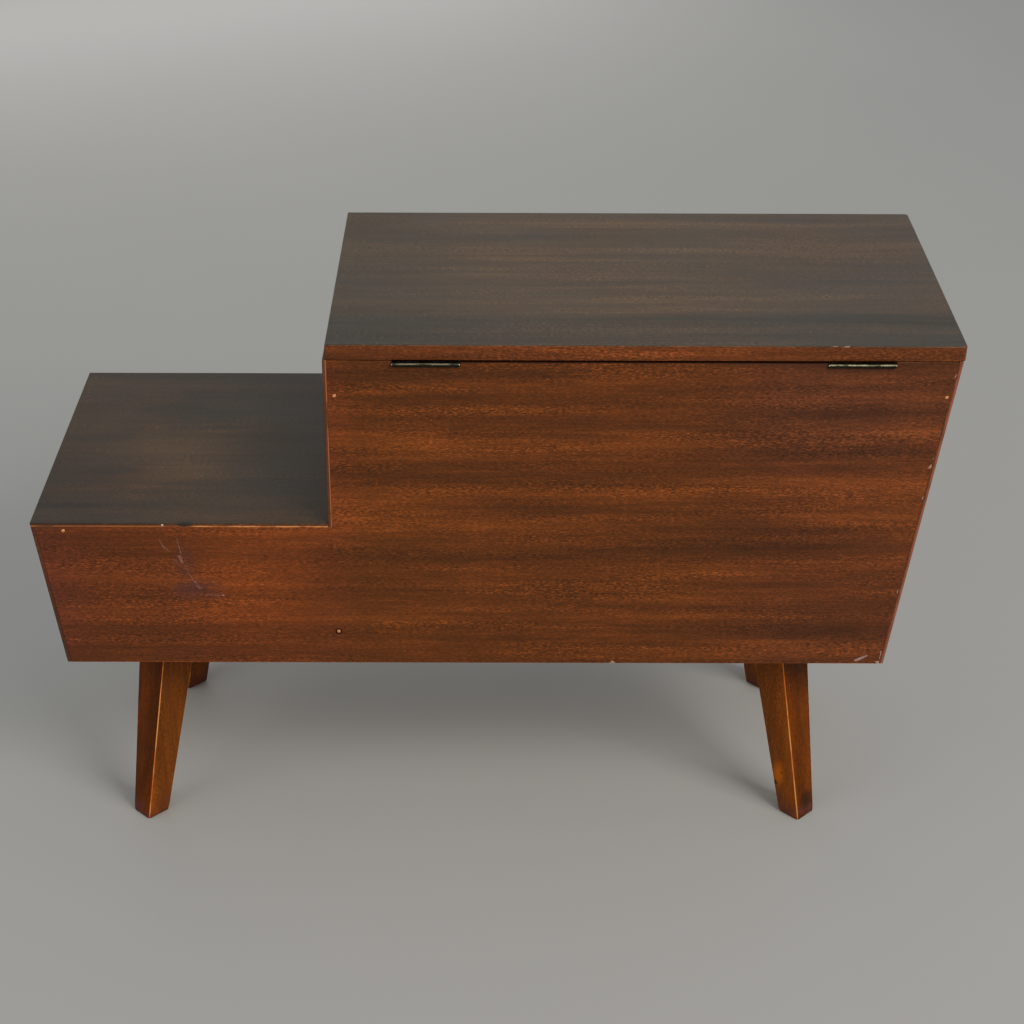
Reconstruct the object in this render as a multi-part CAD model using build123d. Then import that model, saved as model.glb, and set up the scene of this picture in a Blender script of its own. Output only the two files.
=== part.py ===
from build123d import *

import math
import os

# Small sewing table of stained mahogany veneer. A tall chest with a hinged lid stands beside a
# lower chest whose flat top is a shelf and which holds one drawer. Both outer ends lean inwards
# towards the floor, and four square, splayed, tapered legs carry the cabinet.
#
# Row frame: millimetres, +Z up, the front faces -Y, the tall chest is on the left (-X) seen from
# the front. The origin is on the floor, under the centre of the overall box.

# ---------------------------------------------------------------- driving dimensions
WIDTH = 710.0              # outer width across the two leaning ends, at their top edges
DEPTH = 280.0              # front edges of the cabinet to the outer face of the back panel
HEIGHT = 447.5             # floor to the top of the lid
SHELF_HEIGHT = 297.0       # floor to the top of the low chest
LEG_HEIGHT = 171.0         # floor to the underside of the cabinet
LOW_WIDTH = 230.5          # width of the low chest's top
LEAN = 0.146               # how far an end leans in, per millimetre of height
BOARD = 12.0               # thickness of the cabinet boards
LID = 12.5                 # thickness of the lid
BACK = 4.0                 # thickness of the plywood back panel
LIP = 3.0                  # width of the board edges that show round the back panel
LID_SHORT = 2.2            # the lid's inner end stops this far inside the divider's face
SETBACK = 8.0              # the front panel and drawer front stand this far behind the front edges
EASE = 0.7                 # radius on the arrises of the boards

KNOB_REACH = 20.0          # how far the drawer knob stands off the drawer front
HINGE_LENGTH = 50.0
BARREL_R = 2.0             # outside radius of the hinge barrel
AXIS_OUT = 1.4             # hinge axis behind the back panel's face
AXIS_DROP = 2.6            # hinge axis below the lid's underside
HINGE_INSET = 50.0         # end of the lid to the nearer end of a hinge

# ---------------------------------------------------------------- derived places
KNOB_PROUD = KNOB_REACH - SETBACK
BARREL_PROUD = AXIS_OUT + BARREL_R
BACK_Y = (DEPTH + KNOB_PROUD + BARREL_PROUD) / 2 - BARREL_PROUD    # outer face of the back panel
FRONT_Y = BACK_Y - DEPTH                                           # front edges of the cabinet
CARCASE_Y = BACK_Y - BACK                                          # inner face of the back panel
LID_Z = HEIGHT - LID                                               # underside of the lid
FLOOR_Z = LEG_HEIGHT + BOARD                                       # inner floor of the cabinet
SHELF_Z = SHELF_HEIGHT - BOARD                                     # underside of the low top
DIVIDER_OUT = WIDTH / 2 - LOW_WIDTH                                # divider's face to the shelf
DIVIDER_IN = DIVIDER_OUT - BOARD                                   # divider's face to the chest
LID_END = DIVIDER_OUT - LID_SHORT                                  # the lid's end by the shelf
BOARD_X = BOARD * math.hypot(1, LEAN)                              # a leaning board's width along X
HINGE_Y = BACK_Y + AXIS_OUT
HINGE_Z = LID_Z - AXIS_DROP


def tall_out(z):
    """X of the tall end's outer face at height z."""
    return -WIDTH / 2 + LEAN * (HEIGHT - z)


def tall_in(z):
    """X of the tall end's inner face at height z."""
    return tall_out(z) + BOARD_X


def low_out(z):
    """X of the low end's outer face at height z."""
    return WIDTH / 2 - LEAN * (SHELF_HEIGHT - z)


def low_in(z):
    """X of the low end's inner face at height z."""
    return low_out(z) - BOARD_X


# ---------------------------------------------------------------- helpers
def block(x, y, z):
    """A box between pairs of limits."""
    size = [abs(pair[1] - pair[0]) for pair in (x, y, z)]
    return Pos(sum(x) / 2, sum(y) / 2, sum(z) / 2) * Box(*size)


def along_y(outline, y0, y1):
    """An outline of (x, z) points carried from y0 to y1."""
    face = make_face(Polyline([(x, y0, z) for x, z in outline], close=True))
    return extrude(face, amount=y1 - y0, dir=(0, 1, 0))


def along_x(outline, x0, x1):
    """An outline of (y, z) points carried from x0 to x1."""
    face = make_face(Polyline([(x0, y, z) for y, z in outline], close=True))
    return extrude(face, amount=x1 - x0, dir=(1, 0, 0))


def rod(start, end, radius):
    """A round bar between two points."""
    line = Vector(*end) - Vector(*start)
    return Plane(origin=start, z_dir=line) * Cylinder(
        radius, line.length, align=(Align.CENTER, Align.CENTER, Align.MIN))


def eased(board, radius=EASE):
    """A board with every arris rounded."""
    return fillet(board.edges(), radius)


def countersunk(head, direction, length, shank_r, head_r):
    """A wood screw: its flat head lies at head, and it runs length along direction."""
    cone_depth = head_r - shank_r
    at = Plane(origin=head, z_dir=direction)
    low = (Align.CENTER, Align.CENTER, Align.MIN)
    cone = at * Cone(head_r, shank_r, cone_depth, align=low)
    shank = at * Cylinder(shank_r, length, align=low)
    slot_cut = at * Box(2 * head_r, SLOT_WIDTH, SLOT_DEPTH, align=low)
    return cone + shank, slot_cut


SLOT_WIDTH = 0.6
SLOT_DEPTH = 0.5
parts = {}


def keep(name, shape):
    """Stores one node."""
    parts[name] = shape


# ---------------------------------------------------------------- screws and nails
HINGE_SCREW_R = 1.4
HINGE_SCREW_HEAD_R = 2.7
LEAF = 1.2                  # hinge plate thickness
LEAF_REACH = 16.0           # hinge plate, from the axis forwards
LEAF_SCREW_Y = HINGE_Y - 10.5
LEAF_SCREW_STEP = 17.0
BODY_LEAF_Z = (HINGE_Z - 0.2, HINGE_Z + 1.0)
LID_LEAF_Z = (HINGE_Z + 1.1, LID_Z)
hinge_centres = {
    "left": tall_out(HEIGHT) + HINGE_INSET + 2.3 + HINGE_LENGTH / 2,
    "right": LID_END - HINGE_INSET - HINGE_LENGTH / 2,
}


def screw_group(heads, direction, length, shank_r, head_r):
    """Several equal screws, as (whole bodies to cut with, finished screws)."""
    bodies, finished = [], []
    for head in heads:
        body, slot_cut = countersunk(head, direction, length, shank_r, head_r)
        bodies.append(body)
        finished.append(body - slot_cut)
    return bodies, finished


hinge_heads = [(x + step, LEAF_SCREW_Y)
               for x in hinge_centres.values()
               for step in (-LEAF_SCREW_STEP, 0.0, LEAF_SCREW_STEP)]
body_screws, body_screws_done = screw_group(
    [(x, y, BODY_LEAF_Z[1]) for x, y in hinge_heads], (0, 0, -1), 14.0,
    HINGE_SCREW_R, HINGE_SCREW_HEAD_R)
lid_screws, lid_screws_done = screw_group(
    [(x, y, LID_LEAF_Z[0]) for x, y in hinge_heads], (0, 0, 1), 9.0,
    HINGE_SCREW_R, HINGE_SCREW_HEAD_R)

# Legs: (foot centre, top centre). The feet of the front pair stand a little closer together.
SPLAY_X = 0.138             # run per millimetre of height
SPLAY_Y = 0.148
FOOT_INSET_Y = 38.0
REAR_FEET_X = {"left": -260.6, "right": 287.4}
FRONT_FOOT_SHIFT = 8.0
LEG_TOP = 35.0
LEG_FOOT = 22.0
LEG_SCREW_SPREAD = 7.0
legs = {}
for side, foot_x in REAR_FEET_X.items():
    inwards = -math.copysign(1.0, foot_x)
    for end in ("rear", "front"):
        x = foot_x if end == "rear" else foot_x + inwards * FRONT_FOOT_SHIFT
        y = BACK_Y - FOOT_INSET_Y if end == "rear" else FRONT_Y + FOOT_INSET_Y
        towards = -1.0 if end == "rear" else 1.0
        top_x = x + inwards * SPLAY_X * LEG_HEIGHT
        top_y = y + towards * SPLAY_Y * LEG_HEIGHT
        legs[end + "_" + side] = ((x, y), (top_x, top_y))

leg_heads = [(top[0] + step, top[1], FLOOR_Z)
             for _, top in legs.values()
             for step in (-LEG_SCREW_SPREAD, LEG_SCREW_SPREAD)]
leg_screws, leg_screws_done = screw_group(leg_heads, (0, 0, -1), 36.0, 2.2, 4.4)

# Nails through the back panel: some heads show, the rest are punched below the face.
NAIL_R = 0.8
NAIL_HEAD_R = 1.2
NAIL_LENGTH = 20.0
NAIL_HEAD = 0.8
PUNCHED = 0.6
EDGE = BOARD / 2
shown_nails = [
    (DIVIDER_OUT - 8.3, 406.0),
    (tall_out(406.0) + EDGE, 406.0),
    (DIVIDER_OUT - 5.2, 200.3),
    (329.5, SHELF_HEIGHT - 6.7),
]
punched_nails = (
    [(x, LEG_HEIGHT + EDGE) for x in (-280.0, -150.0, -20.0, 210.0, 300.0)]
    + [(tall_out(z) + EDGE + 0.5, z) for z in (220.0, 310.0)]
    + [(DIVIDER_OUT - EDGE, 320.0), (low_out(225.0) - EDGE - 0.5, 225.0)]
    + [(190.0, SHELF_HEIGHT - EDGE)]
)


def nail(x, z, sunk):
    """A wire nail driven forwards from the back panel's face; its head lies sunk below it."""
    face = BACK_Y - sunk
    head = rod((x, face, z), (x, face - NAIL_HEAD, z), NAIL_HEAD_R)
    return head + rod((x, face, z), (x, face - NAIL_LENGTH, z), NAIL_R)


nails = [nail(x, z, 0.0) for x, z in shown_nails]
nails_sunk = [nail(x, z, PUNCHED) for x, z in punched_nails]
punch_holes = [rod((x, BACK_Y + 1, z), (x, BACK_Y - PUNCHED, z), NAIL_HEAD_R)
               for x, z in punched_nails]

# ---------------------------------------------------------------- cabinet boards
NOTCH_PLAY = 0.5            # room round a hinge barrel in the back panel
STAY_X = (DIVIDER_IN - 3.5, DIVIDER_IN - 2.0)      # the stay's arm lies flat beside the divider


def back_outline(low, high):
    """(x, z) corners of the space for the back panel, inside the lips of the boards round it."""
    side = LIP * math.hypot(1, LEAN)
    step = SHELF_HEIGHT - LIP
    return [(tall_out(low) + side, low), (low_out(low) - side, low),
            (low_out(step) - side, step), (DIVIDER_OUT - LIP, step),
            (DIVIDER_OUT - LIP, high), (tall_out(high) + side, high)]


def carcase():
    """The fixed boards that make the box, rebated for the back panel, and the hinge rail."""
    rebate = along_y(back_outline(LEG_HEIGHT - 1, LID_Z + 1), CARCASE_Y, BACK_Y + 1)
    keep("tall_end_panel", eased(along_y([
        (tall_out(LEG_HEIGHT), LEG_HEIGHT), (tall_in(LEG_HEIGHT), LEG_HEIGHT),
        (tall_in(LID_Z), LID_Z), (tall_out(LID_Z), LID_Z)], FRONT_Y, BACK_Y)) - rebate)
    keep("low_end_panel", eased(along_y([
        (low_out(LEG_HEIGHT), LEG_HEIGHT), (low_in(LEG_HEIGHT), LEG_HEIGHT),
        (low_in(SHELF_Z), SHELF_Z), (low_out(SHELF_Z), SHELF_Z)], FRONT_Y, BACK_Y)) - rebate)
    keep("low_top_board", eased(along_y([
        (DIVIDER_OUT, SHELF_Z), (low_out(SHELF_Z), SHELF_Z),
        (low_out(SHELF_HEIGHT), SHELF_HEIGHT), (DIVIDER_OUT, SHELF_HEIGHT)],
        FRONT_Y, BACK_Y)) - rebate)
    keep("divider_panel", eased(
        block((DIVIDER_IN, DIVIDER_OUT), (FRONT_Y, BACK_Y), (FLOOR_Z, LID_Z))) - rebate)
    keep("bottom_board", eased(along_y([
        (tall_in(LEG_HEIGHT), LEG_HEIGHT), (low_in(LEG_HEIGHT), LEG_HEIGHT),
        (low_in(FLOOR_Z), FLOOR_Z), (tall_in(FLOOR_Z), FLOOR_Z)], FRONT_Y, CARCASE_Y)))
    panel_y = FRONT_Y + SETBACK
    keep("front_panel", eased(along_y([
        (tall_in(FLOOR_Z), FLOOR_Z), (DIVIDER_IN, FLOOR_Z),
        (DIVIDER_IN, LID_Z), (tall_in(LID_Z), LID_Z)], panel_y, panel_y + FRONT_PANEL), 0.4))
    keep("rear_rail", along_y([
        (tall_in(RAIL_Z), RAIL_Z), (DIVIDER_IN, RAIL_Z),
        (DIVIDER_IN, LID_Z), (tall_in(LID_Z), LID_Z)], CARCASE_Y - RAIL, CARCASE_Y))
    for x in hinge_centres.values():
        half = HINGE_LENGTH / 2 + 0.2
        parts["rear_rail"] -= block((x - half, x + half), (HINGE_Y - LEAF_REACH - 0.2, BACK_Y),
                                    (BODY_LEAF_Z[0], LID_Z + 1))


def back_panel():
    """The stepped plywood back, with its arrises taken off and a notch for each hinge barrel."""
    panel = along_y(back_outline(LEG_HEIGHT, LID_Z - LID_GAP), CARCASE_Y, BACK_Y)
    outer = panel.faces().sort_by(Axis.Y)[-1]
    panel = chamfer(outer.edges(), BACK_CHAMFER)
    for x in hinge_centres.values():
        half = HINGE_LENGTH / 2 + NOTCH_PLAY
        panel -= block((x - half, x + half), (CARCASE_Y - 1, BACK_Y + 1),
                       (HINGE_Z - BARREL_R - NOTCH_PLAY, LID_Z))
    keep("back_panel", panel)


FRONT_PANEL = 9.0
RAIL = 15.0
RAIL_Z = 362.0
LID_GAP = 0.7               # the back panel stops this far below the lid
BACK_CHAMFER = 0.4
carcase()
back_panel()

# ---------------------------------------------------------------- lid
LID_EASE = 1.0
LID_CORNER = 3.0
LID_LEAN = 0.4              # how far the lid's free end leans in over its thickness


def lid():
    """One board; its free end leans a little and its two outer corners are rounded."""
    board = along_y([
        (LID_END, LID_Z), (tall_out(HEIGHT) + LID_LEAN, LID_Z),
        (tall_out(HEIGHT), HEIGHT), (LID_END, HEIGHT)], FRONT_Y, BACK_Y)
    leaning = [e for e in board.edges()
               if e.center().X < tall_out(HEIGHT) + 2 and abs(e.center().Z - HEIGHT + LID / 2) < 1]
    board = fillet(leaning, LID_CORNER)
    keep("lid", eased(board, LID_EASE))


lid()

# ---------------------------------------------------------------- hinges
KNUCKLES = 5
KNUCKLE_GAP = 0.2
PIN_R = 1.0
PIN_PLAY = 0.05
PIN_END = 0.4
LEAF_CLEAR = 0.2            # a plate's edge to the other leaf's knuckles


def leaf(x, plate_z, own):
    """One hinge leaf about the centre x: a plate and the knuckles whose numbers are in own."""
    pitch = HINGE_LENGTH / KNUCKLES
    start = x - HINGE_LENGTH / 2
    edge = HINGE_Y - BARREL_R - LEAF_CLEAR
    shape = block((start, start + HINGE_LENGTH), (HINGE_Y - LEAF_REACH, edge), plate_z)
    axis_pin = rod((start - 1, HINGE_Y, HINGE_Z), (start + HINGE_LENGTH + 1, HINGE_Y, HINGE_Z),
                   PIN_R + PIN_PLAY)
    for number in own:
        x0 = start + number * pitch + KNUCKLE_GAP / 2
        x1 = x0 + pitch - KNUCKLE_GAP
        shape += rod((x0, HINGE_Y, HINGE_Z), (x1, HINGE_Y, HINGE_Z), BARREL_R)
        shape += block((x0, x1), (edge - 1, HINGE_Y), plate_z)
    return shape - axis_pin


def hinges():
    """Two butt hinges. The body leaf has the odd knuckles, the lid leaf the even ones."""
    for side, x in hinge_centres.items():
        name = "hinge_" + side
        keep(name + "_body_leaf", leaf(x, BODY_LEAF_Z, (0, 2, 4)))
        keep(name + "_lid_leaf", leaf(x, LID_LEAF_Z, (1, 3)))
        half = HINGE_LENGTH / 2 + PIN_END
        pin = rod((x - half, HINGE_Y, HINGE_Z), (x + half, HINGE_Y, HINGE_Z), PIN_R)
        keep(name + "_pin", fillet(pin.edges().filter_by(GeomType.CIRCLE), 0.4))
    keep("hinge_body_screws", Compound(body_screws_done))
    keep("hinge_lid_screws", Compound(lid_screws_done))


hinges()

# ---------------------------------------------------------------- lid stay
# A slotted arm hangs from a bracket under the lid and slides on a stud in the divider. The arm's
# pivot and the stud lie at the same distance from the hinge axis, so the arm turns by exactly half
# of the lid's angle, and the end of the slot stops the lid.
STAY_R = 100.0              # hinge axis to the arm's pivot, and to the stud
STAY_START = 30.0           # angle between those two radii with the lid shut, in degrees
LID_OPEN = 95.0             # the lid's angle at the end of the slot, in degrees
PIVOT_DROP = 7.0            # pivot below the lid's underside
ARM_WIDTH = 11.0
STUD_R = 2.5
SLOT_PLAY = 0.2
RIVET_R = 1.8
pivot_rise = LID_Z - PIVOT_DROP - HINGE_Z
pivot_angle = math.asin(-pivot_rise / STAY_R)
stud_angle = pivot_angle + math.radians(STAY_START)
pivot = (HINGE_Y - STAY_R * math.cos(pivot_angle), HINGE_Z + pivot_rise)
stud = (HINGE_Y - STAY_R * math.cos(stud_angle), HINGE_Z - STAY_R * math.sin(stud_angle))
shut_reach = 2 * STAY_R * math.sin(math.radians(STAY_START) / 2)
open_reach = 2 * STAY_R * math.sin(math.radians(STAY_START + LID_OPEN) / 2)


def stay_point(distance):
    """(y, z) on the arm's centre line, distance from its pivot towards the stud."""
    dy = (stud[0] - pivot[0]) / shut_reach
    dz = (stud[1] - pivot[1]) / shut_reach
    return pivot[0] + distance * dy, pivot[1] + distance * dz


def flat_link(near, far, half_width, x0, x1):
    """A round-ended bar in the plane of X, between two distances from the arm's pivot."""
    ends = [stay_point(near), stay_point(far)]
    dy = (ends[1][0] - ends[0][0]) / (far - near) * half_width
    dz = (ends[1][1] - ends[0][1]) / (far - near) * half_width
    outline = [(ends[0][0] - dz, ends[0][1] + dy), (ends[1][0] - dz, ends[1][1] + dy),
               (ends[1][0] + dz, ends[1][1] - dy), (ends[0][0] + dz, ends[0][1] - dy)]
    bar = along_x(outline, x0, x1)
    for y, z in ends:
        bar += rod((x0, y, z), (x1, y, z), half_width)
    return bar


def stay():
    """The arm, the bracket it hangs from, the rivet between them, and the stud it slides on."""
    half = ARM_WIDTH / 2
    arm = flat_link(0.0, open_reach + 3.0, half, *STAY_X)
    arm -= flat_link(shut_reach - SLOT_PLAY, open_reach + SLOT_PLAY, STUD_R + SLOT_PLAY,
                     STAY_X[0] - 1, STAY_X[1] + 1)
    arm -= rod((STAY_X[0] - 1, *pivot), (STAY_X[1] + 1, *pivot), RIVET_R + 0.05)
    keep("stay_arm", arm)

    ear_x = (STAY_X[0] - 1.8, STAY_X[0] - 0.2)
    base_x = (ear_x[0] - 15.0, ear_x[1])
    ear = rod((ear_x[0], *pivot), (ear_x[1], *pivot), half)
    ear += block(ear_x, (pivot[0] - half, pivot[0] + half), (pivot[1], LID_Z))
    base_y = (pivot[0] - 13.0, pivot[0] + 13.0)
    bracket = ear + block(base_x, base_y, (LID_Z - 1.6, LID_Z))
    screw_x = base_x[0] + 6.5
    heads = [(screw_x, pivot[0] + step, LID_Z - 1.6) for step in (-8.0, 8.0)]
    whole, finished = screw_group(heads, (0, 0, 1), 9.0, 1.5, 2.9)
    rivet = rod((ear_x[0] - 1.0, *pivot), (STAY_X[1] + 0.2, *pivot), RIVET_R)
    rivet += rod((ear_x[0] - 1.0, *pivot), (ear_x[0], *pivot), 3.0)
    rivet += rod((STAY_X[1] + 0.1, *pivot), (STAY_X[1] + 1.1, *pivot), 3.2)
    keep("stay_lid_bracket", cut(bracket, whole + [rivet]))
    keep("stay_bracket_screws", Compound(finished))
    keep("stay_rivet", rivet)

    guide = rod((STAY_X[0] - 0.2, *stud), (DIVIDER_IN + 9.0, *stud), STUD_R)
    guide += rod((STAY_X[0] - 2.2, *stud), (STAY_X[0] - 0.2, *stud), 5.0)
    guide += rod((STAY_X[1] + 0.2, *stud), (DIVIDER_IN, *stud), 4.5)
    keep("stay_guide_stud", guide)
    return whole, guide


def cut(shape, tools):
    """shape with each tool's volume taken out, where the two boxes meet."""
    box = shape.bounding_box()
    for tool in tools:
        other = tool.bounding_box()
        apart = (other.min.X > box.max.X or other.max.X < box.min.X
                 or other.min.Y > box.max.Y or other.max.Y < box.min.Y
                 or other.min.Z > box.max.Z or other.max.Z < box.min.Z)
        if not apart:
            shape = shape - tool
    return shape


bracket_screws, guide_stud = stay()

# ---------------------------------------------------------------- sliding tray and its ledges
TRAY_LENGTH = 250.0
TRAY_HEIGHT = 56.0
TRAY_WALL = 7.0
TRAY_PLY = 3.0
TRAY_PARTITION = 4.0
TRAY_PLAY = 1.0
LEDGE = 10.0
LEDGE_TOP = RAIL_Z + LEDGE
tray_x0 = tall_in(LEDGE_TOP) + 1.7
tray_x = (tray_x0, tray_x0 + TRAY_LENGTH)
tray_y = (FRONT_Y + SETBACK + FRONT_PANEL + TRAY_PLAY, CARCASE_Y - RAIL - TRAY_PLAY)
tray_z = (LEDGE_TOP, LEDGE_TOP + TRAY_HEIGHT)


def ledges():
    """Two strips under the tray, one on the front panel and one on the rear rail."""
    outline = [(tall_in(RAIL_Z), RAIL_Z), (DIVIDER_IN, RAIL_Z),
               (DIVIDER_IN, LEDGE_TOP), (tall_in(LEDGE_TOP), LEDGE_TOP)]
    front = FRONT_Y + SETBACK + FRONT_PANEL
    rear = CARCASE_Y - RAIL
    keep("tray_ledge_front", along_y(outline, front, front + LEDGE))
    keep("tray_ledge_back", along_y(outline, rear - LEDGE, rear))


def tray():
    """An open tray: four walls on a plywood bottom, with one long and three short partitions."""
    wall_z = (tray_z[0] + TRAY_PLY, tray_z[1])
    inner_x = (tray_x[0] + TRAY_WALL, tray_x[1] - TRAY_WALL)
    inner_y = (tray_y[0] + TRAY_WALL, tray_y[1] - TRAY_WALL)
    keep("tray_bottom", block(tray_x, tray_y, (tray_z[0], wall_z[0])))
    keep("tray_front", eased(block(inner_x, (tray_y[0], inner_y[0]), wall_z), 0.5))
    keep("tray_back", eased(block(inner_x, (inner_y[1], tray_y[1]), wall_z), 0.5))
    keep("tray_left_end", eased(block((tray_x[0], inner_x[0]), tray_y, wall_z), 0.5))
    keep("tray_right_end", eased(block((inner_x[1], tray_x[1]), tray_y, wall_z), 0.5))
    half = TRAY_PARTITION / 2
    low_z = (wall_z[0], wall_z[1] - 8.0)
    spine = inner_y[0] + 0.42 * (inner_y[1] - inner_y[0])
    keep("tray_long_partition", eased(block(inner_x, (spine - half, spine + half), low_z), 0.5))
    length = inner_x[1] - inner_x[0]
    places = [(1 / 3, "front"), (2 / 3, "front"), (1 / 2, "back")]
    for number, (share, bay) in enumerate(places, 1):
        x = inner_x[0] + share * length
        y = (inner_y[0], spine - half) if bay == "front" else (spine + half, inner_y[1])
        keep(f"tray_short_partition_{number}", eased(block((x - half, x + half), y, low_z), 0.5))


ledges()
tray()

# ---------------------------------------------------------------- drawer
DRAWER_GAP = 1.0
DRAWER_FRONT = 12.0
DRAWER_WALL = 9.0
DRAWER_PLY = 4.0
DRAWER_GROOVE_Z = FLOOR_Z + 8.0
DRAWER_BOX_X = (DIVIDER_OUT + DRAWER_GAP, 312.0)
drawer_y = (FRONT_Y + SETBACK, FRONT_Y + SETBACK + DRAWER_FRONT)
drawer_rear = CARCASE_Y - 10.0
knob_x = (DIVIDER_OUT + low_in(235.0)) / 2
knob_z = (FLOOR_Z + SHELF_Z) / 2


def drawer():
    """A plain box drawer behind a front that leans with the end of the cabinet."""
    gap = DRAWER_GAP
    low_z = FLOOR_Z + gap
    high_z = SHELF_Z - gap
    slope_gap = gap * math.hypot(1, LEAN) + 0.2
    front = eased(along_y([
        (DIVIDER_OUT + gap, low_z), (low_in(low_z) - slope_gap, low_z),
        (low_in(high_z) - slope_gap, high_z), (DIVIDER_OUT + gap, high_z)], *drawer_y), 0.8)
    side_y = (drawer_y[1], drawer_rear)
    side_z = (FLOOR_Z, SHELF_Z - 4.0)
    inner_x = (DRAWER_BOX_X[0] + DRAWER_WALL, DRAWER_BOX_X[1] - DRAWER_WALL)
    groove = block((inner_x[0] - 4.0, inner_x[1] + 4.0), (drawer_y[1] - 4.0, drawer_rear),
                   (DRAWER_GROOVE_Z, DRAWER_GROOVE_Z + DRAWER_PLY))
    left = block((DRAWER_BOX_X[0], inner_x[0]), side_y, side_z)
    right = block((inner_x[1], DRAWER_BOX_X[1]), side_y, side_z)
    back_z = (DRAWER_GROOVE_Z + DRAWER_PLY, side_z[1] - 3.0)
    keep("drawer_back", eased(block(inner_x, (drawer_rear - DRAWER_WALL, drawer_rear), back_z), 0.4))
    keep("drawer_left_side", eased(left, 0.4) - groove)
    keep("drawer_right_side", eased(right, 0.4) - groove)
    keep("drawer_bottom", groove)

    screw, slot_cut = countersunk((knob_x, drawer_y[1], knob_z), (0, -1, 0), 22.0, 2.0, 4.0)
    keep("drawer_front", front - groove - screw)
    keep("drawer_knob", knob() - screw)
    keep("drawer_knob_screw", screw - slot_cut)


def knob():
    """A turned knob: a flared foot, a neck, and a shallow domed face."""
    face = drawer_y[0] - KNOB_REACH
    foot = drawer_y[0]
    profile = [
        Line((0, foot), (7.5, foot)),
        Line((7.5, foot), (7.5, foot - 1.6)),
        Spline((7.5, foot - 1.6), (5.4, foot - 6.0), (7.6, foot - 10.5), (11.0, foot - 14.0)),
        ThreePointArc((11.0, foot - 14.0), (11.6, foot - 16.2), (9.6, foot - 18.4)),
        Spline((9.6, foot - 18.4), (0, face), tangents=((-1, -0.4), (-1, 0))),
        Line((0, face), (0, foot)),
    ]
    turned = revolve(make_face(Curve(profile)), Axis.Y, 360)
    return Pos(knob_x, 0, knob_z) * turned


def drawer_fittings():
    """The strip that guides the drawer on its open side, and the block that stops it."""
    keep("drawer_guide", block((DRAWER_BOX_X[1] + 1.0, DRAWER_BOX_X[1] + 11.0),
                               (drawer_y[1] + 6.0, CARCASE_Y), (FLOOR_Z, FLOOR_Z + 10.0)))
    middle = sum(DRAWER_BOX_X) / 2
    keep("drawer_stop", block((middle - 25.0, middle + 25.0),
                              (drawer_y[1] + 0.2, drawer_y[1] + 14.0), (FLOOR_Z, FLOOR_Z + 5.0)))


drawer()
drawer_fittings()


# ---------------------------------------------------------------- legs
LEG_ARRIS = 1.2             # radius along a leg's four long arrises
SOLE_CHAMFER = 1.4


def diamond(centre, side, z):
    """A square standing on its corner, at height z."""
    return Pos(centre[0], centre[1], z) * Rot(0, 0, 45) * RectangleRounded(side, side, LEG_ARRIS)


def leg(foot, top):
    """A square leg that tapers to its foot and leans out towards its corner of the cabinet."""
    share = SOLE_CHAMFER / LEG_HEIGHT
    above = [low + share * (high - low) for low, high in zip(foot, top)]
    sole = LEG_FOOT - 2 * SOLE_CHAMFER
    return loft([diamond(foot, sole, 0.0), diamond(above, LEG_FOOT, SOLE_CHAMFER),
                 diamond(top, LEG_TOP, LEG_HEIGHT)], ruled=True)


for corner, (foot, top) in legs.items():
    keep("leg_" + corner, leg(foot, top))
keep("leg_screws", Compound(leg_screws_done))
keep("back_panel_nails", Compound(nails))
keep("back_panel_punched_nails", Compound(nails_sunk))

# ---------------------------------------------------------------- fasteners meet their holes
drilled = {
    "back_panel": nails + nails_sunk + punch_holes,
    "tall_end_panel": nails + nails_sunk,
    "low_end_panel": nails + nails_sunk,
    "divider_panel": nails + nails_sunk + [guide_stud],
    "low_top_board": nails + nails_sunk,
    "bottom_board": nails + nails_sunk + leg_screws,
    "rear_rail": body_screws,
    "lid": lid_screws + bracket_screws,
}
for side in hinge_centres:
    drilled[f"hinge_{side}_body_leaf"] = body_screws
    drilled[f"hinge_{side}_lid_leaf"] = lid_screws
for corner in legs:
    drilled["leg_" + corner] = leg_screws
for name, tools in drilled.items():
    parts[name] = cut(parts[name], tools)

os.makedirs("parts", exist_ok=True)
for name, shape in parts.items():
    export_step(shape, f"parts/{name}.step")
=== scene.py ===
import math

import bpy
from mathutils import Matrix, Vector, noise


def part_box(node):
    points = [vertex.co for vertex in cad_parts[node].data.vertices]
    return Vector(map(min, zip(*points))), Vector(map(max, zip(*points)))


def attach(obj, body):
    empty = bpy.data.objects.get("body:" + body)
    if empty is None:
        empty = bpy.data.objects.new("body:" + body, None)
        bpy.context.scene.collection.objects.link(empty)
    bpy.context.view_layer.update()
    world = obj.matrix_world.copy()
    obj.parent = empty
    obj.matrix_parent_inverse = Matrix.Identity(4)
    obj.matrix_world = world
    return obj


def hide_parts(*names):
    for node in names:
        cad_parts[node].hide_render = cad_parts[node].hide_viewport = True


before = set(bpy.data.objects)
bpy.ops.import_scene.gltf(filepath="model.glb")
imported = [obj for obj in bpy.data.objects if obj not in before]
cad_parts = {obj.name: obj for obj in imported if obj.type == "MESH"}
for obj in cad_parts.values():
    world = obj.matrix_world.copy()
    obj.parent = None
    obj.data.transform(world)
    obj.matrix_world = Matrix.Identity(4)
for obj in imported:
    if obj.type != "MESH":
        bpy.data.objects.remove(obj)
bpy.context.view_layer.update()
MM = 0.001

# ---------------------------------------------------------------- camera, at the photograph's angle
CAMERA_PLACE = (-0.0096, 1.6421, 1.1075)
CAMERA_TURN = 179.70        # about the vertical; 180 looks straight along -Y
CAMERA_DOWN = 28.10         # below the horizon
CAMERA_ROLL = 0.29
CAMERA_LENS = 77.54


def rotation(degrees, axis):
    """A 4x4 rotation about one axis."""
    return Matrix.Rotation(math.radians(degrees), 4, axis)


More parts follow.
